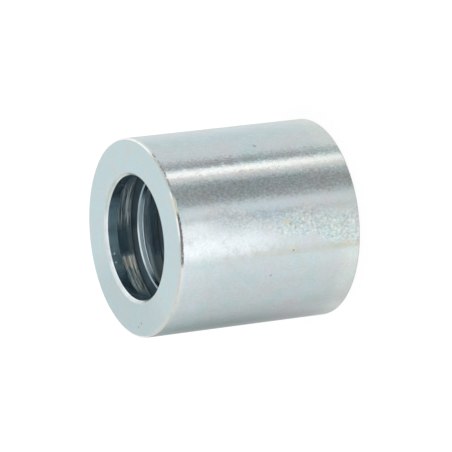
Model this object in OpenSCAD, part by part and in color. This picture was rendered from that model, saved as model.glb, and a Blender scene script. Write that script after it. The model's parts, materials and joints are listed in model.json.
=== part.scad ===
// Crimp ferrule for a hydraulic hose: a thick turned sleeve that stands on its hose end.
// The bore carries ribs with deep grooves between them, and the dies close on the plain outer wall.

/* [Body] */
// Outside diameter, where the crimping dies close
outer_d = 30; // [27:0.5:40]
// Length from the hose end to the fitting end
length = 30.4; // [24:0.2:45]
// Radius on the outer edge of both ends
edge_r = 0.2; // [0.1:0.05:1]

/* [Bore] */
// Bore over the rib crests and the end lands, which slides over the hose
bore_d = 18.9; // [16:0.1:20]
// Chamfer on the bore's edge at the fitting end
fitting_chamfer = 0.45; // [0.1:0.05:1]
// Length of the lead-in cone at the hose end
lead_in_l = 1.2; // [0.4:0.1:1.7]
// Slope of the lead-in cone, measured from the axis
lead_in_angle = 30; // [15:1:45]

/* [Ribs] */
// Number of ribs between the two end lands
rib_count = 5; // [2:1:7]
// Width of one rib over its crest
rib_w = 1; // [0.6:0.05:1.6]
// Width of the land at the fitting end
fitting_land_w = 2.15; // [1.3:0.05:4]
// Width of the land at the hose end
hose_land_w = 2.9; // [1.9:0.05:4]
// Depth of the grooves below the rib crests
groove_depth = 2.15; // [1:0.05:2.8]
// Radius in the corners of a groove's floor
groove_corner_r = 0.25; // [0.1:0.05:0.6]
// Chamfer on the edges of the rib crests
rib_chamfer = 0.18; // [0.05:0.01:0.25]

/* [Hidden] */
$fn = 180;
zinc = [0.76, 0.80, 0.81];

outer_r = outer_d / 2;
bore_r = bore_d / 2;
floor_r = bore_r + groove_depth;
lead_in_r = bore_r + lead_in_l * tan(lead_in_angle);

// The grooves share the length that the lands and the ribs leave
groove_w = (length - hose_land_w - fitting_land_w - rib_count * rib_w) / (rib_count + 1);
groove_pitch = groove_w + rib_w;

// How far a cut runs past the face that it opens
overcut = 0.5;

// Strip from radius r1 to r2, w wide, with its two corners at r2 rounded
module rounded_strip(r1, r2, w, corner_r) {
    translate([r1, 0])
        square([r2 - corner_r - r1, w]);
    translate([r1, corner_r])
        square([r2 - r1, w - 2 * corner_r]);
    for (z = [corner_r, w - corner_r])
        translate([r2 - corner_r, z])
            circle(corner_r);
}

// Section of one groove, open at the bore, with chamfered rib edges and a floor with round corners
module groove_section() {
    rounded_strip(bore_r - overcut, floor_r, groove_w, groove_corner_r);
    polygon([
        [bore_r - overcut, -rib_chamfer],
        [bore_r, -rib_chamfer],
        [bore_r + rib_chamfer, 0],
        [bore_r + rib_chamfer, groove_w],
        [bore_r, groove_w + rib_chamfer],
        [bore_r - overcut, groove_w + rib_chamfer]
    ]);
}

// Cone at the hose end that guides the hose in
module lead_in_section() {
    polygon([
        [bore_r - overcut, -overcut],
        [lead_in_r, -overcut],
        [lead_in_r, 0],
        [bore_r, lead_in_l],
        [bore_r - overcut, lead_in_l]
    ]);
}

// Chamfer on the bore's edge at the fitting end
module fitting_chamfer_section() {
    polygon([
        [bore_r - overcut, length + overcut],
        [bore_r + fitting_chamfer, length + overcut],
        [bore_r + fitting_chamfer, length],
        [bore_r, length - fitting_chamfer],
        [bore_r - overcut, length - fitting_chamfer]
    ]);
}

// The sleeve, turned in one piece from bar
module ferrule() {
    color(zinc)
        rotate_extrude()
            difference() {
                rounded_strip(bore_r, outer_r, length, edge_r);
                for (i = [0 : rib_count])
                    translate([0, hose_land_w + i * groove_pitch])
                        groove_section();
                lead_in_section();
                fitting_chamfer_section();
            }
}

ferrule();
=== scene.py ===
import json
import math

import bpy
from mathutils import Matrix, Vector


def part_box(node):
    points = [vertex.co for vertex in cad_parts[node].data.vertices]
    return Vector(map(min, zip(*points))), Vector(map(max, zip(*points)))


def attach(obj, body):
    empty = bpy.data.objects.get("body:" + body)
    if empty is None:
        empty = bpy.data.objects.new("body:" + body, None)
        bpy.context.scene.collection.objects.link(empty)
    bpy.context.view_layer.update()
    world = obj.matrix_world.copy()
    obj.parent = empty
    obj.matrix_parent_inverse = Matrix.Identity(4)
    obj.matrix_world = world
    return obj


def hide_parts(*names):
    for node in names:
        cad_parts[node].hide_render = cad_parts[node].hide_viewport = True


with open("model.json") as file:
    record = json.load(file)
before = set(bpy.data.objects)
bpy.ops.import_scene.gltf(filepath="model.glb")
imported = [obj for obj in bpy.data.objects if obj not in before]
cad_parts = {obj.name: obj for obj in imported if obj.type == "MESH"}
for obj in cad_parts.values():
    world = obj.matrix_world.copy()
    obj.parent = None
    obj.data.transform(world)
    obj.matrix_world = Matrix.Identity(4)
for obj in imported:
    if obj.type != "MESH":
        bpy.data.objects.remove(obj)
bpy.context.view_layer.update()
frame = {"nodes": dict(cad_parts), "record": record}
mm = 0.001
print("frame loaded:", sorted(frame["nodes"]))


def operator(operation, reflected=False):
    def method(self, other):
        pair = (other, self) if reflected else (self, other)
        return self.calc(operation, *pair)
    return method


def function(operation):
    def method(self):
        return self.calc(operation, self)
    return method


class Sock:
    # a node's output that takes part in Python arithmetic
    def __init__(self, graph, socket):
        self.graph = graph
        self.socket = socket

    def calc(self, operation, *values):
        return self.graph.add("ShaderNodeMath", {"operation": operation}, dict(enumerate(values)))

    def out(self, name):
        return Sock(self.graph, self.socket.node.outputs[name])

    def rise(self, low, high):  # 0 below low, 1 above high, smooth between; low may be the larger
        limits = {"Value": self, "From Min": low, "From Max": high}
        return self.graph.add("ShaderNodeMapRange", {"interpolation_type": "SMOOTHSTEP"}, limits)

    def step(self, at, soft):  # from 0 to 1 within soft of a place
        return self.rise(at - soft, at + soft)

    def near(self, centre, half, soft):  # 1 within half of the centre, then down to 0 over soft
        return abs(self - centre).rise(half + soft, half)

    def swing(self, amount):  # turns a pattern of 0 to 1 into a change up and down
        return (self - 0.5) * amount

    def changed(self, start, arcs):  # start, changed within each (middle, half width, softness, change)
        for *arc, change in arcs:
            start = self.near(*arc) * change + start
        return start

    def larger(self, other):
        return self.calc("MAXIMUM", self, other)

    def bearing(self, ahead):  # degrees, from ahead towards this side
        return self.calc("ARCTAN2", self, ahead) * (180 / math.pi)

    __add__ = operator("ADD")
    __radd__ = operator("ADD", True)
    __sub__ = operator("SUBTRACT")
    __rsub__ = operator("SUBTRACT", True)
    __mul__ = operator("MULTIPLY")
    __rmul__ = operator("MULTIPLY", True)
    __truediv__ = operator("DIVIDE")
    __rtruediv__ = operator("DIVIDE", True)
    __mod__ = operator("FLOORED_MODULO")
    __lt__ = operator("LESS_THAN")
    __gt__ = operator("GREATER_THAN")
    __abs__ = function("ABSOLUTE")
    root = function("SQRT")
    floor = function("FLOOR")


class Graph:
    # fills one node tree, for a material, the world or a shape
    def __init__(self, tree):
        self.tree = tree

    def add(self, kind, settings=None, sockets=None):
        node = self.tree.nodes.new(kind)
        for name, value in (settings or {}).items():
            if name == "choices":
                while len(node.index_switch_items) < value:
                    node.index_switch_items.new()
            else:
                setattr(node, name, value)
        for key, value in (sockets or {}).items():
            self.feed(node, key, value)
        first = next((s for s in node.outputs if s.enabled), None)
        return Sock(self, first)

    def feed(self, node, key, value):
        byName = (s for s in node.inputs if s.name == key and s.enabled)
        target = node.inputs[key] if isinstance(key, int) else next(byName)
        if isinstance(value, Sock):
            self.tree.links.new(value.socket, target)
        elif target.type == "RGBA":
            target.default_value = (*value[:3], 1)
        else:
            target.default_value = value

    def pick(self, which, choices):  # one of several numbers, by its place in the list
        items = {str(i): choice for i, choice in enumerate(choices)}
        return self.add("GeometryNodeIndexSwitch", {"data_type": "FLOAT", "choices": len(choices)},
                        {"Index": which, **items})

    def mix(self, factor, a, b, blend="MIX"):  # blends two colours
        return self.add("ShaderNodeMix", {"data_type": "RGBA", "blend_type": blend},
                        {"Factor": factor, "A": a, "B": b})

    def shade(self, colour, level):  # darkens or lightens a colour
        return self.mix(1.0, colour, level, "MULTIPLY")

    def vector(self, x, y, z):
        return self.add("ShaderNodeCombineXYZ", None, {"X": x, "Y": y, "Z": z})

    def split(self, vector):
        parts = self.add("ShaderNodeSeparateXYZ", None, {"Vector": vector})
        return parts.out("X"), parts.out("Y"), parts.out("Z")

    def shift(self, place, by):
        return self.add("ShaderNodeVectorMath", {"operation": "ADD"}, {0: place, 1: by})

    def scaled(self, vector, amount):
        return self.add("ShaderNodeVectorMath", {"operation": "SCALE"}, {"Vector": vector, "Scale": amount})

    def pattern(self, place, offset, grain, detail, roughness):  # soft noise of about 0 to 1
        moved = self.shift(place, offset)
        return self.add("ShaderNodeTexNoise", None, {
            "Vector": moved, "Scale": 1 / grain, "Detail": detail, "Roughness": roughness})

    def cells(self, place, grain):  # a mosaic, with a colour by chance for each cell
        return self.add("ShaderNodeTexVoronoi", {"feature": "F1"}, {"Vector": place, "Scale": 1 / grain})

    def bump(self, height, normal=None):  # height in millimetres
        sockets = {"Strength": 1.0, "Distance": mm, "Height": height}
        if normal is not None:
            sockets["Normal"] = normal
        return self.add("ShaderNodeBump", None, sockets)

    def leaned(self, by):  # the surface's normal, leaned by a vector
        normal = self.add("ShaderNodeNewGeometry").out("Normal")
        return self.add("ShaderNodeVectorMath", {"operation": "NORMALIZE"}, {0: self.shift(normal, by)})


# the ferrule's own box and bore, from model.glb and model.json
boxLow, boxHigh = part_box("ferrule")
mounts = {mount["name"]: mount for mount in frame["record"]["mounts"]}
outerRadius = (boxHigh.x - boxLow.x) / 2
length = boxHigh.z - boxLow.z
boreRadius = mounts["hose_bore"]["dims"]["r_mm"] * mm
leadInLength = 1.2 * mm
leadInSlope = math.tan(math.radians(30))

ferruleSizes = {
    "outerRadius": outerRadius,
    "length": length,
    "boreRadius": boreRadius,
    "grooveDepth": 2.15 * mm,
    "ribCount": 5,
    "ribWidth": 1.0 * mm,
    "ribChamfer": 0.18 * mm,
    "hoseLand": 2.9 * mm,
    "fittingLand": 2.15 * mm,
    "fittingChamfer": 0.45 * mm,
    "leadInLength": leadInLength,
    "leadInRise": leadInLength * leadInSlope,
    "edgeRadius": 0.2 * mm,
    "cornerRadius": 0.25 * mm,
    "filletSteps": 5,
    "segments": 600,
}
supportGap = 0.06 * mm   # from a rounded edge to the line that keeps the wall beside it straight
weldGap = 0.002 * mm
selectGap = 0.02 * mm    # room for rounding where faces are chosen by place
creaseAngle = math.radians(30)


def shapeInputs(tree, graph, sizes):
    # one named input for each size
    tree.interface.new_socket("Geometry", in_out="OUTPUT", socket_type="NodeSocketGeometry")
    for name, value in sizes.items():
        kind = "NodeSocketInt" if isinstance(value, int) else "NodeSocketFloat"
        tree.interface.new_socket(name, in_out="INPUT", socket_type=kind)
    group = tree.nodes.new("NodeGroupInput")
    return {s.name: Sock(graph, s) for s in group.outputs if s.name}


def groovePoints(graph, s, index, grooveWidth):
    # each groove: chamfer, flank, floor, flank, chamfer; as (r, z, fillet) for each point
    ribTop = s["boreRadius"]
    ribSide = s["boreRadius"] + s["ribChamfer"]
    floor = s["boreRadius"] + s["grooveDepth"]
    bend = s["cornerRadius"]
    corners = [
        (ribTop, 0 - s["ribChamfer"], 0.0),
        (ribSide, 0.0, 0.0),
        (floor, 0.0, bend),
        (floor, grooveWidth, bend),
        (ribSide, grooveWidth, 0.0),
        (ribTop, grooveWidth + s["ribChamfer"], 0.0),
    ]
    foot = s["hoseLand"] + (index / len(corners)).floor() * (grooveWidth + s["ribWidth"])
    r, z, fillet = [graph.pick(index % len(corners), list(values)) for values in zip(*corners)]
    return len(corners), (r, foot + z, fillet)


def outlinePoints(graph, s, index):
    # the rest of the outline, with a support line on both sides of each rounded edge
    top = s["length"]
    wall = s["outerRadius"]
    inset = s["edgeRadius"] + supportGap
    corners = [
        (s["boreRadius"], top - s["fittingChamfer"], 0.0),
        (s["boreRadius"] + s["fittingChamfer"], top, 0.0),
        (wall - inset, top, 0.0),
        (wall, top, s["edgeRadius"]),
        (wall, top - inset, 0.0),
        (wall, inset, 0.0),
        (wall, 0.0, s["edgeRadius"]),
        (wall - inset, 0.0, 0.0),
        (s["boreRadius"] + s["leadInRise"], 0.0, 0.0),
        (s["boreRadius"], s["leadInLength"], 0.0),
    ]
    return len(corners), tuple(graph.pick(index, list(values)) for values in zip(*corners))


def sectionCurve(graph, s):
    # the turned half-section as a closed line: up the ribbed bore, over the fitting end and down the wall
    index = graph.add("GeometryNodeInputIndex")
    grooves = s["ribCount"] + 1
    bored = s["length"] - s["hoseLand"] - s["fittingLand"] - s["ribCount"] * s["ribWidth"]
    perGroove, inGroove = groovePoints(graph, s, index, bored / grooves)
    borePoints = grooves * perGroove
    inBore = index < borePoints
    restPoints, onRest = outlinePoints(graph, s, (index - borePoints).larger(0.0))
    r, z, fillet = [inBore * a + (1 - inBore) * b for a, b in zip(inGroove, onRest)]

    line = graph.add("GeometryNodeCurvePrimitiveLine")
    points = graph.add("GeometryNodeResampleCurve", {"mode": "COUNT"},
                       {"Curve": line, "Count": borePoints + restPoints})
    placed = graph.add("GeometryNodeSetPosition", None,
                       {"Geometry": points, "Position": graph.vector(r - s["boreRadius"], 0 - z, 0.0)})
    closed = graph.add("GeometryNodeSetSplineCyclic", None, {"Geometry": placed, "Cyclic": True})
    return graph.add("GeometryNodeFilletCurve", {"mode": "POLY"},
                     {"Curve": closed, "Count": s["filletSteps"], "Radius": fillet, "Limit Radius": True})


def ferruleTree(sizes, finishes):
    tree = bpy.data.node_groups.new("ferruleLathe", "GeometryNodeTree")
    graph = Graph(tree)
    s = shapeInputs(tree, graph, sizes)
    circle = graph.add("GeometryNodeCurvePrimitiveCircle", None,
                       {"Resolution": s["segments"], "Radius": s["boreRadius"]})
    turned = graph.add("GeometryNodeCurveToMesh", None,
                       {"Curve": circle, "Profile Curve": sectionCurve(graph, s)})
    merged = graph.add("GeometryNodeMergeByDistance", None, {"Geometry": turned, "Distance": weldGap})
    whole = graph.add("GeometryNodeRealizeInstances", None, {"Geometry": merged})
    smooth = graph.add("GeometryNodeSetShadeSmooth", None, {"Geometry": whole, "Shade Smooth": True})
    creased = graph.add("GeometryNodeInputMeshEdgeAngle") > creaseAngle
    shape = graph.add("GeometryNodeStoreNamedAttribute", {"data_type": "BOOLEAN", "domain": "EDGE"},
                      {"Geometry": smooth, "Name": "sharp_edge", "Value": creased})

    # one finish each for the bore, the end faces, the rounded edges and the wall
    x, y, z = graph.split(graph.add("GeometryNodeInputPosition"))
    r = (x * x + y * y).root()
    onRim = r > s["outerRadius"] - s["edgeRadius"] - selectGap
    offEnd = (z > selectGap) * (z < s["length"] - selectGap)
    onWall = onRim * (z > s["edgeRadius"]) * (z < s["length"] - s["edgeRadius"])
    regions = [("bore", None), ("face", 1 - offEnd), ("edge", onRim), ("wall", onWall)]
    for name, where in regions:
        sockets = {"Geometry": shape, "Material": finishes[name]}
        if where is not None:
            sockets["Selection"] = where
        shape = graph.add("GeometryNodeSetMaterial", None, sockets)
    graph.add("NodeGroupOutput", None, {"Geometry": shape})
    return tree


def plainMesh(name, tree, sizes):
    # runs the tree once and keeps its result as an ordinary mesh
    piece = bpy.data.objects.new(name, bpy.data.meshes.new(name))
    bpy.context.scene.collection.objects.link(piece)
    modifier = piece.modifiers.new("shape", "NODES")
    modifier.node_group = tree
    for item in tree.interface.items_tree:
        if item.in_out == "INPUT":
            modifier[item.identifier] = sizes[item.name]
    evaluated = piece.evaluated_get(bpy.context.evaluated_depsgraph_get())
    mesh = bpy.data.meshes.new_from_object(evaluated)
    piece.modifiers.clear()
    piece.data = mesh
    return piece


class Spot:
    # where a point lies on the ferrule: millimetres, and degrees from the photographed side towards +X
    def __init__(self, graph):
        here = graph.add("ShaderNodeTexCoord").out("Object")
        self.place = graph.scaled(here, 1 / mm)
        self.x, self.y, self.z = graph.split(self.place)
        self.r = (self.x * self.x + self.y * self.y).root()
        self.depth = length / mm - self.z  # from the fitting end
        self.angle = self.x.bearing(0 - self.y)
        self.farAngle = self.x.bearing(self.y)  # the same from the far side


def newFinish(name):
    material = bpy.data.materials.new(name)
    material.use_nodes = True
    material.node_tree.nodes.clear()
    graph = Graph(material.node_tree)
    return material, graph, Spot(graph)


def metalShader(graph, colour, roughness, normal, metallic=1.0):
    shader = graph.add("ShaderNodeBsdfPrincipled", None, {
        "Base Color": colour, "Metallic": metallic, "Roughness": roughness, "Normal": normal})
    graph.add("ShaderNodeOutputMaterial", None, {"Surface": shader})


# the looks below share these forms, with angles in degrees and lengths in mm
# a pattern: offset, grain, detail, roughness; a film: colour, share, limits
# a limit: (middle, half width, softness), (start, full), or None for a whole mask
def within(sources, limits):
    where = 1.0
    for name, ends in limits.items():
        part = sources[name]
        if ends is not None:
            part = part.near(*ends) if len(ends) == 3 else part.rise(*ends)
        where = part * where
    return where


def layFilms(graph, sources, look, films, colour):
    # lays one film after another on a colour
    for name, share, limits in films:
        colour = graph.mix(within(sources, limits) * share, colour, look[name])
    return colour


markCore = 0.3   # share of a mark's size that is full


def roundMark(across, along, size, wobble):
    # 1 in the middle of a round mark with a ragged edge
    off = (across * across + along * along).root() + wobble.swing(size)
    return off.rise(size, size * markCore)


def marks(angle, depth, radius, wobble, places):
    # round marks on a round wall, each at (angle, depth, size)
    total = 0.0
    perDegree = math.radians(radius / mm)  # mm along the wall
    for degrees, deep, size in places:
        total = roundMark((angle - degrees) * perDegree, depth - deep, size, wobble) + total
    return total


edgeLook = {
    "pale": (0.52, 0.545, 0.53),
    # light: a painted highlight colour for the rounded edge
    "light": (0.92, 0.93, 0.92),
    # the next three colours are painted reflections on the edge: a gold highlight and two dark ones
    "gold": (0.72, 0.70, 0.59),
    "paintedDarkLine": (0.20, 0.18, 0.16),
    "worn": (0.085, 0.07, 0.065),
    "grain": ((0, 0, 0), 0.5, 2.0, 0.6),
    "patch": ((4, 4, 2), 1.8, 2.0, 0.5),
    "broken": ((1, 7, 2), 1.1, 2.0, 0.5),
    "ragged": 8,         # degrees that the ends of the arcs wander
    "wobble": 0.5,       # mm that the depth of the painted edge reflections wanders
    "goldGrain": (0.4, 0.8),
    "grainLevel": 0.4,
    "patchLevel": 0.3,
    "clearLevel": 0.15,
    "clearArc": {"angle": (-52, 30, 10), "depth": (2, 1)},   # a little lighter there, a painted sheen
    # painted highlights along three arcs of the rounded edge
    "films": (
        ("light", 1.0, {"ragged": (80, 22, 12), "depth": (2, 1), "patch": (0.15, 0.4)}),
        ("light", 1.0, {"ragged": (10, 10, 8), "depth": (2, 1), "patch": (0.15, 0.4)}),
        ("light", 1.0, {"ragged": (-112, 20, 10), "depth": (2, 1), "patch": (0.15, 0.4)}),
    ),
    # painted reflections along part of the front edge: a dark band, a gold highlight beside that and then a
    # broken dark line
    "paintedEdgeReflections": (
        ("paintedDarkLine", 0.65, {"ragged": (38, 13, 5), "brokenDepth": (0.36, 0.1, 0.12), "broken": (0.42, 0.58)}),
        ("gold", 1.0, {"ragged": (15, 4, 4), "grainDepth": (0.62, 0.5), "goldGrain": None}),
        ("worn", 0.8, {"ragged": (-4, 13, 4), "grainDepth": (0.62, 0.5), "grain": (0.22, 0.42),
                       "depth": (0.1, 0.2)}),
    ),
    "roughness": 0.34,
    "paintedEdgeRough": 0.25,
    "grainHeight": 0.0015,
}


def edgeSources(graph, spot, fine):
    look = edgeLook
    broken = graph.pattern(spot.place, *look["broken"])
    goldLeast, goldGain = look["goldGrain"]
    return {
        "angle": spot.angle,
        "depth": spot.depth,
        "grain": fine,
        "broken": broken,
        "ragged": spot.angle + fine.swing(look["ragged"]),
        "brokenDepth": spot.depth + broken.swing(look["wobble"]),
        "grainDepth": spot.depth + fine.swing(look["wobble"]),
        "goldGrain": goldLeast + fine * goldGain,
    }


def wearEdge(graph, sources, colour):
    # lays the painted reflections along the edge, and also gives where any of them lies
    covered = 0.0
    for name, share, limits in edgeLook["paintedEdgeReflections"]:
        where = within(sources, limits)
        colour = graph.mix(where * share, colour, edgeLook[name])
        covered = where.larger(covered)
    return colour, covered


def edgeFinish():
    look = edgeLook
    material, graph, spot = newFinish("edgeZinc")
    fine = graph.pattern(spot.place, *look["grain"])
    patch = graph.pattern(spot.place, *look["patch"])
    sources = {"patch": patch, **edgeSources(graph, spot, fine)}
    level = 1 + fine.swing(look["grainLevel"]) + patch.swing(look["patchLevel"])
    level = level + within(sources, look["clearArc"]) * look["clearLevel"]
    colour = layFilms(graph, sources, look, look["films"], graph.shade(look["pale"], level))
    colour, worn = wearEdge(graph, sources, colour)
    roughness = look["roughness"] + worn * look["paintedEdgeRough"]
    metalShader(graph, colour, roughness, graph.bump(fine * look["grainHeight"]))
    return material


wallLook = {
    "zinc": (0.52, 0.583, 0.6),
    "teal": (0.41, 0.56, 0.555),
    "rose": (0.59, 0.565, 0.60),
    "blue": (0.45, 0.54, 0.615),
    "cream": (0.61, 0.63, 0.565),
    # bright: a painted sheen on the clear and front parts, lighter towards the front end
    "bright": (0.74, 0.79, 0.81),
    # sea and lagoon: painted reflection tints on the lower side
    "sea": (0.375, 0.55, 0.54),
    "lagoon": (0.37, 0.54, 0.55),
    # pearl: a painted highlight tint where the strip light's highlight falls
    "pearl": (0.595, 0.60, 0.58),
    "cool": (0.46, 0.575, 0.60),
    # paleEdge: a painted sheen along the front edge
    "paleEdge": (0.68, 0.72, 0.685),
    "stain": (0.64, 0.60, 0.42),
    "drain": (0.50, 0.45, 0.30),
    "pit": (0.10, 0.11, 0.09),
    "grain": ((0, 0, 0), 0.32, 2.0, 0.6),
    "grainStretch": 0.75,
    "speckle": ((7, 3, 1), 0.58, 2.0, 0.5),
    "mottle": ((2, 9, 4), 1.6, 3.0, 0.6),
    "cloud": ((5, 1, 8), 4.0, 2.0, 0.5),
    "swell": ((9, 6, 3), 9.0, 2.0, 0.5),
    "wave": ((0, 0, 0), 3.0, 1.0, 0.5),
    "crystal": 0.22,
    "crystalStretch": 0.5,   # the crystals lie twice as long as wide
    "lean": 0.055,           # how far the crystals lean, all of them and the fewer bold ones
    "boldLean": 0.08,
    "boldShare": 0.3,
    "calm": 0.32,            # share of the lean outside the heavy patches
    # the patch of heavy crystals along the photographed side: a wedge, slanted and wider towards the far end
    "spangle": (-5, 5.5, 5),
    "spangleFrom": (4, 9),   # depth where it starts and is there, then where it's full
    "spangleFull": (14, 22),
    "spangleStart": 0.62,    # its share before that
    "spangleSlant": 0.62,    # degrees for each mm of depth, from the depth below
    "slantFrom": 24.0,
    "spangleSway": 13,       # degrees that its sides wander
    "spangleWidth": (0.45, 0.023),   # relative width at the front, and its growth for each mm
    # softer patches elsewhere
    "backPatch": (0.42, 0.82),
    "backShare": 0.5,
    "backFrom": (75, 115),   # to either side of the photographed one
    # parts that films and levels share: two clear ones at the front, and the lower side in the photograph
    # the clear and front parts carry a painted sheen
    "clear": {"angle": (-10, 4, 8), "depth": (22, 9)},
    "front": {"angle": (-5.3, 8, 5.5), "depth": (9, 3)},
    "side": {"angle": (-75, 7, 14)},
    # painted light and shade on that side, set by the two depths below
    "sideMiddle": 11.0,      # depth at which that side is darkest
    "sideReach": 13.0,       # from there to where it's paler by its level
    # painted light: the upper side is lighter near the front end
    "frontLift": {"angle": (40, 20), "depth": (8, 2)},
    "evenArc": (12, 27, 5),  # outside it the far end is paler and creamier
    "farFrom": (26.0, 29.0),
    "topFrom": (40, 50),     # the upper side in the photograph
    "farCream": 0.2,
    "topCream": 0.15,
    "films": (
        ("teal", 0.5, {"cloud": (0.48, 0.72)}),
        ("rose", 0.5, {"cloud": (0.5, 0.28)}),
        ("blue", 0.5, {"mottle": (0.5, 0.72)}),
        ("cream", 0.35, {"mottle": (0.5, 0.28)}),
        ("cream", 0.65, {"heavy": None, "speckle": (0.52, 0.68)}),
        ("teal", 0.65, {"heavy": None, "speckle": (0.48, 0.32)}),
        # a painted highlight tint along the strip light's highlight
        ("pearl", 0.8, {"angle": (32.5, 2.0, 3.2)}),
        ("cool", 0.7, {"angle": (70, 8, 9)}),
        # painted sheen on the clear and front parts
        ("bright", 0.7, {"clear": None, "mottle": (0.2, 0.5)}),
        ("bright", 0.85, {"front": None, "mottle": (0.1, 0.4)}),
        ("blue", 0.6, {"bluePatches": None}),
        # painted reflection tints on the lower side
        ("sea", 0.6, {"angle": (-80, 6, 18), "depth": (22, 10)}),
        ("lagoon", 0.36, {"side": None, "depth": (10, 2)}),
        ("cream", 0.2, {"depth": (17, 29)}),
    ),
    # a painted sheen along the front edge, a faint line where the plating bath drained, then stains and pits
    "marks": (
        ("paleEdge", 0.65, {"angle": (-54, 31, 8), "depth": (1.2, 0.2)}),
        ("paleEdge", 0.7, {"angle": (76, 17, 9), "depth": (0.75, 0.3)}),
        ("drain", 0.36, {"wavy": (-18.2, 0.6, 2.6), "depth": (5, 10), "cloud": (0.35, 0.6)}),
        ("stain", 0.6, {"stains": None}),
        ("pit", 0.4, {"smudges": None}),
        ("pit", 0.6, {"pits": None}),
    ),
    "drainSway": 4,          # degrees
    # each is (angle, depth, size)
    "bluePatches": ((5.5, 13.6, 1.6), (4.2, 16.0, 1.9)),
    "stains": ((-1.6, 18.1, 0.75), (-16.3, 18.9, 0.6), (34.2, 14.1, 0.5), (-54, 15.2, 0.4)),
    "smudges": ((49.9, 17.0, 0.45), (-32, 15.5, 0.25)),
    "pits": ((-2.7, 18.6, 0.2), (-17.9, 19.0, 0.2)),
    # how much lighter or darker each pattern and part makes the zinc
    "levels": {"grain": 0.2, "heavyGrain": 0.75, "mottle": 0.25, "cloud": 0.08, "speckle": 0.3,
               "side": 0.22, "far": 0.09, "farTop": -0.06, "front": 0.07},
    "grainArcs": ((21, 5, 4, 0.75), (41, 3, 3, 0.5)),   # with how much grainier it is there
    "roughness": {"zinc": 0.17, "heavy": 0.06, "mottle": 0.06, "worn": 0.4, "ends": 0.03, "side": 0.06},
    "heights": {"grain": 0.0018, "wave": 0.009, "swell": 0.03},
}


def heavyCrystals(spot, cloud, swell):
    look = wallLook
    middle, half, soft = look["spangle"]
    narrow, growth = look["spangleWidth"]
    begun = look["spangleStart"]
    slant = (spot.depth - look["slantFrom"]) * look["spangleSlant"]
    slanted = spot.angle - middle + slant + cloud.swing(look["spangleSway"])
    front = (slanted / (narrow + spot.depth * growth)).near(0.0, half, soft)
    front = front * spot.depth.rise(*look["spangleFrom"])
    front = front * (begun + spot.depth.rise(*look["spangleFull"]) * (1 - begun))
    back = swell.rise(*look["backPatch"]) * abs(spot.angle).rise(*look["backFrom"])
    return front.larger(back * look["backShare"])


def wallSources(graph, spot):
    # everything that the wall's films follow
    look = wallLook
    stretched = graph.vector(spot.x, spot.y, spot.z * look["grainStretch"])
    sources = {"angle": spot.angle, "depth": spot.depth, "grain": graph.pattern(stretched, *look["grain"])}
    for name in ("speckle", "mottle", "cloud", "swell", "wave"):
        sources[name] = graph.pattern(spot.place, *look[name])
    for name in ("clear", "front", "side"):
        sources[name] = within(sources, look[name])
    for name in ("bluePatches", "stains", "smudges", "pits"):
        sources[name] = marks(spot.angle, spot.depth, outerRadius, sources["grain"], look[name])
    sources["heavy"] = heavyCrystals(spot, sources["cloud"], sources["swell"])
    sources["wavy"] = spot.angle + sources["mottle"].swing(look["drainSway"])
    return sources


def wallNormal(graph, spot, sources):
    # each crystal leans its own way, on grain, waves and broad swells
    look = wallLook
    drawn = graph.vector(spot.x, spot.y, spot.z * look["crystalStretch"])
    crystal = graph.cells(drawn, look["crystal"]).out("Color")
    chance = graph.add("ShaderNodeSeparateColor", None, {"Color": crystal}).out("Blue")
    bold = chance > 1 - look["boldShare"]
    loose = look["calm"] + sources["heavy"] * (1 - look["calm"])
    centred = graph.shift(crystal, (-0.5, -0.5, -0.5))
    lean = graph.leaned(graph.scaled(centred, (look["lean"] + bold * look["boldLean"]) * loose))
    heights = look["heights"]
    height = sources["grain"] * heights["grain"] * loose + sources["swell"] * heights["swell"]
    return graph.bump(height + sources["wave"] * heights["wave"], lean)


def wallFinish():
    look = wallLook
    levels = look["levels"]
    material, graph, spot = newFinish("wallZinc")
    sources = wallSources(graph, spot)
    fine, mottle, heavy, side = [sources[name] for name in ("grain", "mottle", "heavy", "side")]
    colour = layFilms(graph, sources, look, look["films"], look["zinc"])
    farEnd = spot.depth.rise(*look["farFrom"]) * (1 - spot.angle.near(*look["evenArc"]))
    onTop = spot.angle.rise(*look["topFrom"])
    colour = graph.mix(farEnd * (look["farCream"] + onTop * look["topCream"]), colour, look["cream"])

    grainy = spot.angle.changed(levels["grain"] + heavy * levels["heavyGrain"], look["grainArcs"])
    along = (spot.depth - look["sideMiddle"]) / look["sideReach"]
    clear = sources["clear"].larger(sources["front"])
    level = 1 + fine.swing(grainy) + mottle.swing(levels["mottle"]) + sources["cloud"].swing(levels["cloud"])
    # painted light and shade: that side is lighter towards both ends
    level = level + side * along * along * levels["side"]
    level = level + heavy * sources["speckle"].swing(levels["speckle"])
    level = level + farEnd * (levels["far"] + onTop * levels["farTop"])
    # painted light near the front end, outside the painted sheen
    level = level + within(sources, look["frontLift"]) * (1 - clear) * levels["front"]
    colour = layFilms(graph, sources, look, look["marks"], graph.shade(colour, level))
    # the painted reflections of the front edge reach onto the wall
    colour, worn = wearEdge(graph, edgeSources(graph, spot, fine), colour)

    rough = look["roughness"]
    roughness = rough["zinc"] + heavy * rough["heavy"] + mottle.swing(rough["mottle"]) + worn * rough["worn"]
    roughness = roughness + along * along * (rough["ends"] + side * rough["side"])
    metalShader(graph, colour, roughness, wallNormal(graph, spot, sources))
    return material


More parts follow.
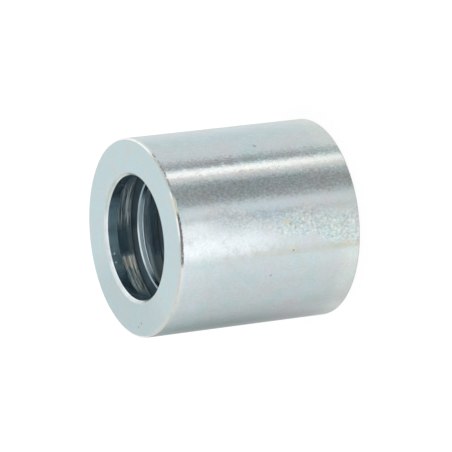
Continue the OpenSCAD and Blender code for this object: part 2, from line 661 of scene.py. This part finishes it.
faceLook = {
    "zinc": (0.515, 0.645, 0.675),
    "pale": (0.575, 0.655, 0.655),
    "warm": (0.62, 0.64, 0.60),
    "speck": (0.26, 0.2, 0.12),
    "grain": ((0, 0, 0), 0.45, 2.0, 0.6),
    "cloud": ((3, 8, 1), 3.5, 3.0, 0.5),
    "rings": ((0, 0, 0), 0.22, 2.0, 0.5),
    "films": (("pale", 0.7, {"cloud": (0.4, 0.65)}),),
    "paintedShadeArc": (-112, 30, 36),   # a slightly darker part, painted shade
    # the dull level is the painted shade along that arc
    "levels": {"grain": 0.14, "rings": 0.05, "cloud": -0.14, "dull": -0.1},
    "rimWidth": 0.3,             # warm colour at both rims, and more of it along one arc
    "warmWidth": 0.5,
    "warmArc": (-55, 22, 16),
    "warmGrain": (0.3, 0.6),
    "warmShare": 0.5,
    "warmMore": 0.35,
    "specks": ((-94, 12.84, 0.3), (-98.7, 13.5, 0.2)),   # angle, radius, size
    "speckShare": 0.8,
    "heights": {"rings": 0.0006, "grain": 0.0008, "cloud": 0.004},
    "roughness": 0.33,
    "grainRough": 0.06,
}


def faceFinish():
    look = faceLook
    levels = look["levels"]
    heights = look["heights"]
    material, graph, spot = newFinish("faceZinc")
    fine = graph.pattern(spot.place, *look["grain"])
    cloud = graph.pattern(spot.place, *look["cloud"])
    rings = graph.pattern(graph.vector(spot.r, 0.0, 0.0), *look["rings"])
    colour = layFilms(graph, {"cloud": cloud}, look, look["films"], look["zinc"])
    level = 1 + fine.swing(levels["grain"]) + rings.swing(levels["rings"]) + cloud.swing(levels["cloud"])
    # painted shade along one arc
    level = level + spot.angle.near(*look["paintedShadeArc"]) * levels["dull"]
    colour = graph.shade(colour, level)

    innerEdge = (boreRadius + ferruleSizes["fittingChamfer"]) / mm
    outerEdge = (outerRadius - ferruleSizes["edgeRadius"]) / mm
    warmer = spot.angle.near(*look["warmArc"])
    innerRim = spot.r.rise(innerEdge + look["rimWidth"], innerEdge)
    outerRim = spot.r.rise(outerEdge - (look["rimWidth"] + warmer * look["warmWidth"]), outerEdge)
    warm = fine.rise(*look["warmGrain"]) * look["warmShare"] + warmer * look["warmMore"]
    colour = graph.mix(innerRim.larger(outerRim) * warm, colour, look["warm"])
    for degrees, radius, size in look["specks"]:
        turn = math.radians(degrees)
        speck = roundMark(spot.x - radius * math.sin(turn), spot.y + radius * math.cos(turn), size, fine)
        colour = graph.mix(speck * look["speckShare"], colour, look["speck"])

    height = rings * heights["rings"] + fine * heights["grain"] + cloud * heights["cloud"]
    metalShader(graph, colour, look["roughness"] + fine.swing(look["grainRough"]), graph.bump(height))
    return material


boreLook = {
    "land": (0.43, 0.57, 0.62),
    "floor": (0.36, 0.48, 0.53),
    # flank and corner: dark for painted shade on the groove flanks and in the corners
    "flank": (0.09, 0.145, 0.175),
    "corner": (0.055, 0.085, 0.10),
    # crestDark: painted shade across the crests
    "crest": (0.195, 0.255, 0.28),
    "crestDark": (0.10, 0.135, 0.15),
    # the edge and gleam colours and rimLight are painted highlights on the rib edges and along the rim at
    # the mouth
    "ribEdge": (0.31, 0.40, 0.44),
    "ribGleam": (0.62, 0.72, 0.76),
    "farEdge": (0.50, 0.62, 0.66),
    "farGleam": (0.70, 0.84, 0.90),
    "rim": (0.56, 0.63, 0.61),
    "rimLight": (0.77, 0.84, 0.86),
    # painted reflections on the groove floors, and a painted glow past the first groove
    "floorReflection": (0.11, 0.15, 0.165),
    "grey": (0.46, 0.57, 0.61),
    "blueGrey": (0.62, 0.80, 0.85),
    "tan": (0.93, 0.90, 0.79),
    "olive": (0.76, 0.79, 0.66),
    "paintedGlow": (0.66, 0.76, 0.84),
    "streaks": ((0, 0, 0), 0.2, 3.0, 0.6),
    "coarse": ((1, 2, 5), 0.7, 2.0, 0.5),
    "cloud": ((6, 2, 7), 2.0, 2.0, 0.5),
    "streakStretch": 0.05,   # turning streaks run round the bore
    "lines": (0.36, 0.64),   # the lighter streaks
    "hair": 0.015,           # softness of the borders between parts
    "floorHair": 0.004,
    "mouthHair": 0.04,
    # painted reflections on the groove floors, laid as duller streaks: arcs on the far side, and the degrees
    # that their ends wander
    "greyArc": (29, 10, 17),
    "blueArc": (-26, 12, 16),
    "blueStart": (-7, -15),
    "blueSway": 7,
    "tanArc": (-17.5, 2.5, 4),
    "tanSway": 9,
    "tanFill": 0.3,
    "tanStreak": (0.55, 0.8),
    "tanStreakShare": 0.25,
    "greyFrom": (-10, 10),
    "oliveFrom": (0.4, 0.7),     # share of the groove's width
    "oliveShare": 0.7,
    # past the first groove the painted reflections are fainter, with painted light behind each rib and an
    # even painted glow along one arc
    "deepFrom": (6.5, 7),
    "deepFade": 0.9,
    "paintedGlowFade": (-0.7, -2.3),    # before the next rib, where the painted light ends and is full
    "paintedGlowShare": 0.95,
    "duskArc": (-30, 13, 6),
    "duskShare": 0.42,
    "duskTan": 0.5,
    "landArc": (2, 28, 14),
    "crestArc": (0, 30, 36),
    # painted shade across the crests
    "crestFade": {"overRib": (0.35, 0.85), "farAngle": (-14, 6)},
    "crestFadeShare": 0.45,
    # painted highlights along these arcs
    "gleamArc": (-8, 12, 14),
    "rimArc": (-30, 45, 32),
    # arcs with the change of level there, painted light and shade on the flanks and the land
    "flankShades": ((3, 8, 10, -0.55), (-28, 13, 5, 0.45)),
    "landShades": ((-57, 10, 10, -0.3), (58, 9, 9, -0.4), (27, 8, 10, 0.25), (36, 7, 8, 0.3)),
    "specks": ((-12, 1.0, 0.16), (-20.6, 0.9, 0.16), (58.6, 1.7, 0.14)),   # angle, depth, size
    "levels": {"streaks": 0.4, "cloud": 0.4, "rim": 0.5},
    # how far each part leans towards the mouth
    "leans": {"floorReflection": 0.4, "tan": 0.3, "paintedGlow": 0.12, "land": 0.18, "landEdge": 0.6, "crest": 0.55,
              "farEdge": 1.1},
    "flankDull": 0.85,
    "floorReflectionDull": 0.85,
    "roughness": 0.24,
    "cloudRough": 0.1,
    "streakHeight": 0.006,
}


class BoreParts:
    # masks for the parts of the bore's section
    def __init__(self, spot):
        size = {name: value / mm for name, value in ferruleSizes.items()}
        ribs = ferruleSizes["ribCount"]
        hair = boreLook["hair"]
        chamfer = size["ribChamfer"]
        land = size["fittingLand"]
        mouth = size["fittingChamfer"]
        ribSide = size["boreRadius"] + chamfer
        floor = size["boreRadius"] + size["grooveDepth"]
        groove = (size["length"] - size["hoseLand"] - land - ribs * size["ribWidth"]) / (ribs + 1)
        self.onTop = spot.r.rise(ribSide + 2 * hair, ribSide)
        self.onFloor = spot.r.rise(floor - hair, floor - boreLook["floorHair"])
        self.inCorner = spot.r.step(floor - size["cornerRadius"], hair) * (1 - self.onFloor)
        self.onFlank = (1 - self.onTop) * (1 - self.onFloor)
        self.atMouth = spot.depth.rise(mouth + boreLook["mouthHair"], mouth)
        pastLand = spot.depth.rise(land, land + hair)
        self.onLand = self.onTop * (1 - pastLand)
        self.atLandEdge = spot.depth.step(land - chamfer, hair)
        self.across = (spot.depth - land) / groove
        self.overRib = (spot.depth - land) % (groove + size["ribWidth"]) - groove
        onRib = self.onTop * pastLand
        self.nearEdge = onRib * (1 - self.overRib.step(chamfer, hair))
        self.farEdge = onRib * self.overRib.step(size["ribWidth"] - chamfer, hair)
        self.crest = onRib * (1 - self.nearEdge) * (1 - self.farEdge)
        self.deep = spot.depth.rise(*boreLook["deepFrom"])


class BoreFilms:
    # where the painted reflections lie on the groove floors, and their colour
    def __init__(self, graph, spot, parts, streaks, coarse):
        look = boreLook
        floorReflection = parts.onFloor * (1 - parts.deep * look["deepFade"])
        deepFloor = parts.onFloor * parts.deep
        far = spot.farAngle
        greyPart = far.near(*look["greyArc"]) * floorReflection
        bluePart = far.near(*look["blueArc"]) * floorReflection
        bluePart = bluePart * (far + streaks.swing(look["blueSway"])).rise(*look["blueStart"])
        dusk = far.near(*look["duskArc"])
        self.tanPart = (far + streaks.swing(look["tanSway"])).near(*look["tanArc"]) * floorReflection
        self.byRib = deepFloor * parts.overRib.rise(*look["paintedGlowFade"])
        paintedGlowPart = self.byRib.larger(deepFloor * dusk * look["duskShare"])
        self.where = greyPart.larger(bluePart).larger(self.tanPart).larger(paintedGlowPart)
        self.lines = streaks.rise(*look["lines"])

        # painted reflection colours: olive to grey across the far side, tan streaks, and a lighter painted
        # glow past the first groove
        olive = parts.across.rise(*look["oliveFrom"]) * look["oliveShare"]
        line = graph.mix(olive, look["blueGrey"], look["olive"])
        line = graph.mix(far.rise(*look["greyFrom"]), line, look["grey"])
        tan = self.tanPart.larger(coarse.rise(*look["tanStreak"]) * look["tanStreakShare"])
        line = graph.mix(tan, line, look["tan"])
        colour = graph.mix(self.lines.larger(self.tanPart * look["tanFill"]), look["floorReflection"], line)
        paintedGlow = graph.mix(dusk * look["duskTan"], look["paintedGlow"], look["tan"])
        self.colour = graph.mix(parts.deep * look["paintedGlowShare"], colour, paintedGlow)


def boreFinish():
    look = boreLook
    levels = look["levels"]
    leans = look["leans"]
    material, graph, spot = newFinish("boreZinc")
    far = spot.farAngle
    stretch = look["streakStretch"]
    around = graph.vector(spot.x * stretch, spot.y * stretch, spot.z)
    streaks = graph.pattern(around, *look["streaks"])
    coarse = graph.pattern(around, *look["coarse"])
    cloud = graph.pattern(spot.place, *look["cloud"])
    parts = BoreParts(spot)
    films = BoreFilms(graph, spot, parts, streaks, coarse)
    litLand = far.near(*look["landArc"]) * parts.onLand
    litCrest = far.near(*look["crestArc"])
    gleam = far.near(*look["gleamArc"])
    specks = marks(far, spot.depth, boreRadius, cloud, look["specks"]) * parts.onTop

    # flanks, floors, painted reflections and corners of the grooves, with painted shade on the flanks and in
    # the corners
    flank = graph.shade(look["flank"], far.changed(1.0, look["flankShades"]))
    colour = graph.mix(parts.onFloor, flank, look["floor"])
    colour = graph.mix(films.where, colour, films.colour)
    colour = graph.mix(parts.inCorner, colour, look["corner"])

    # the land, the ribs and the rim at the mouth, with painted light and shade on the land, painted shade
    # across the crests and painted highlights on the rib edges and the rim
    land = graph.shade(look["land"], far.changed(1.0, look["landShades"]))
    colour = graph.mix(parts.onTop, colour, land)
    fade = within({"overRib": parts.overRib, "farAngle": far}, look["crestFade"]) * look["crestFadeShare"]
    crest = graph.mix(fade, look["crest"], look["crestDark"])
    colour = graph.mix(parts.crest * litCrest, colour, crest)
    farEdge = graph.mix(gleam, look["farEdge"], look["farGleam"])
    colour = graph.mix(parts.farEdge * litCrest, colour, farEdge)
    nearEdge = graph.mix(gleam, look["ribEdge"], look["ribGleam"])
    colour = graph.mix(parts.nearEdge, colour, nearEdge)
    colour = graph.shade(colour, 1 + streaks.swing(levels["streaks"]) + cloud.swing(levels["cloud"]))
    rim = graph.mix(far.near(*look["rimArc"]), look["rim"], look["rimLight"])
    colour = graph.mix(parts.atMouth, colour, graph.shade(rim, 1 + cloud.swing(levels["rim"])))
    colour = graph.mix(specks, colour, look["crest"])

    lean = litLand * leans["land"] + litLand * parts.atLandEdge * leans["landEdge"]
    lean = lean + films.where * films.lines * leans["floorReflection"]
    lean = lean + (parts.crest * leans["crest"] + parts.farEdge * leans["farEdge"]) * litCrest
    lean = lean + films.tanPart * leans["tan"] + films.byRib * leans["paintedGlow"] + specks * leans["crest"]
    leaned = graph.leaned(graph.vector(0.0, 0.0, lean))
    normal = graph.bump(streaks * look["streakHeight"], leaned)
    dull = parts.onFlank * look["flankDull"] + films.where * look["floorReflectionDull"]
    metalShader(graph, colour, look["roughness"] + cloud.swing(look["cloudRough"]), normal, 1 - dull)
    return material


finishes = {"wall": wallFinish(), "face": faceFinish(), "edge": edgeFinish(), "bore": boreFinish()}
print("finishes:", sorted(finish.name for finish in finishes.values()))
ferrule = plainMesh("ferruleBody", ferruleTree(ferruleSizes, finishes), ferruleSizes)
print("ferrule:", len(ferrule.data.polygons), "faces", [round(v / mm, 2) for v in ferrule.dimensions])
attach(ferrule, "root")
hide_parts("ferrule")

# the studio: a white tent all round with a strip light, dark gaps and a shaded side below the horizon
studio = {
    "level": 0.95,
    "horizon": (0.12, -0.12),
    "poleFade": (-0.97, -0.85),
    # degrees from the camera towards +X: middle, half width, softness; then the change of level
    "bands": {
        "stripLight": (70.3, 3.0, 3.5, 1.36),
        "gapByStrip": (75, 0.5, 17, -0.69),
        "darkFlag": (41.5, 10.5, 8, -0.54),
        "slit": (10.5, 0.7, 3, -0.4),
        "frontGlow": (-22, 7, 4, 0.14),
        "broadGlow": (-10, 40, 10, 0.08),
        "sideGlow": (-54, 10, 12, 0.07),
        "sideShade": (-100, 8, 12, -0.05),
        "shadedSide": (-153, 2, 60, -0.54),
    },
}


def studioWorld():
    world = bpy.data.worlds.new("studioTent")
    bpy.context.scene.world = world
    world.use_nodes = True
    world.node_tree.nodes.clear()
    graph = Graph(world.node_tree)
    x, y, z = graph.split(graph.add("ShaderNodeTexCoord").out("Generated"))
    azimuth = x.bearing(0 - y)
    bands = 0.0
    for middle, half, soft, change in studio["bands"].values():
        turn = (azimuth - (middle - 180)) % 360 - 180
        bands = turn.near(0.0, half, soft) * change + bands
    bands = bands * z.rise(*studio["horizon"]) * z.rise(*studio["poleFade"])

    # the camera and the metal see a white background, and the metal the studio's bands on it too
    path = graph.add("ShaderNodeLightPath")
    isCamera = path.out("Is Camera Ray")
    seen = isCamera.larger(path.out("Is Glossy Ray")).larger(path.out("Is Transmission Ray"))
    strength = studio["level"] + seen * (1 - studio["level"]) + (1 - isCamera) * bands
    background = graph.add("ShaderNodeBackground", None, {"Color": (1, 1, 1), "Strength": strength})
    graph.add("ShaderNodeOutputWorld", None, {"Surface": background})


studioWorld()

floorLook = {"size": 6.0, "glow": 0.76, "grey": 0.3}


def studioFloor():
    half = floorLook["size"] / 2
    mesh = bpy.data.meshes.new("studioFloor")
    corners = [(-half, -half, 0), (half, -half, 0), (half, half, 0), (-half, half, 0)]
    mesh.from_pydata(corners, [], [(0, 1, 2, 3)])
    floor = bpy.data.objects.new("studioFloor", mesh)
    bpy.context.scene.collection.objects.link(floor)
    material = bpy.data.materials.new("paleFloor")
    material.use_nodes = True
    material.node_tree.nodes.clear()
    graph = Graph(material.node_tree)
    diffuse = graph.add("ShaderNodeBsdfDiffuse", None, {"Color": (floorLook["grey"],) * 3})
    glow = graph.add("ShaderNodeEmission", None, {"Color": (1, 1, 1), "Strength": floorLook["glow"]})
    both = graph.add("ShaderNodeAddShader", None, {0: diffuse, 1: glow})
    graph.add("ShaderNodeOutputMaterial", None, {"Surface": both})
    mesh.materials.append(material)
    floor.visible_glossy = False   # the wall mirrors the tent below the horizon, not the floor
    floor.visible_shadow = False


studioFloor()
print("studio:", len(studio["bands"]), "bands of light and shade")

# a long lens, turned on its side so that the standing ferrule lies as in the photograph
cameraRig = {
    "aim": (0.15 * mm, 0.0, 14.72 * mm),
    "distance": 664.6 * mm,
    "elevation": math.radians(27.51),
    "roll": math.radians(-96.9),
    "lens": 350.5,
    "sensor": 36.0,
}


def photoCamera():
    data = bpy.data.cameras.new("photoCamera")
    data.lens = cameraRig["lens"]
    data.sensor_width = cameraRig["sensor"]
    camera = bpy.data.objects.new("photoCamera", data)
    bpy.context.scene.collection.objects.link(camera)
    tilt = Matrix.Rotation(math.pi / 2 - cameraRig["elevation"], 4, "X")
    roll = Matrix.Rotation(cameraRig["roll"], 4, "Z")
    back = tilt @ Vector((0, 0, cameraRig["distance"]))
    camera.matrix_world = Matrix.Translation(Vector(cameraRig["aim"]) + back) @ tilt @ roll
    bpy.context.scene.camera = camera


photoCamera()
bpy.context.scene.view_settings.view_transform = "Standard"
print("camera:", cameraRig["lens"], "mm lens")
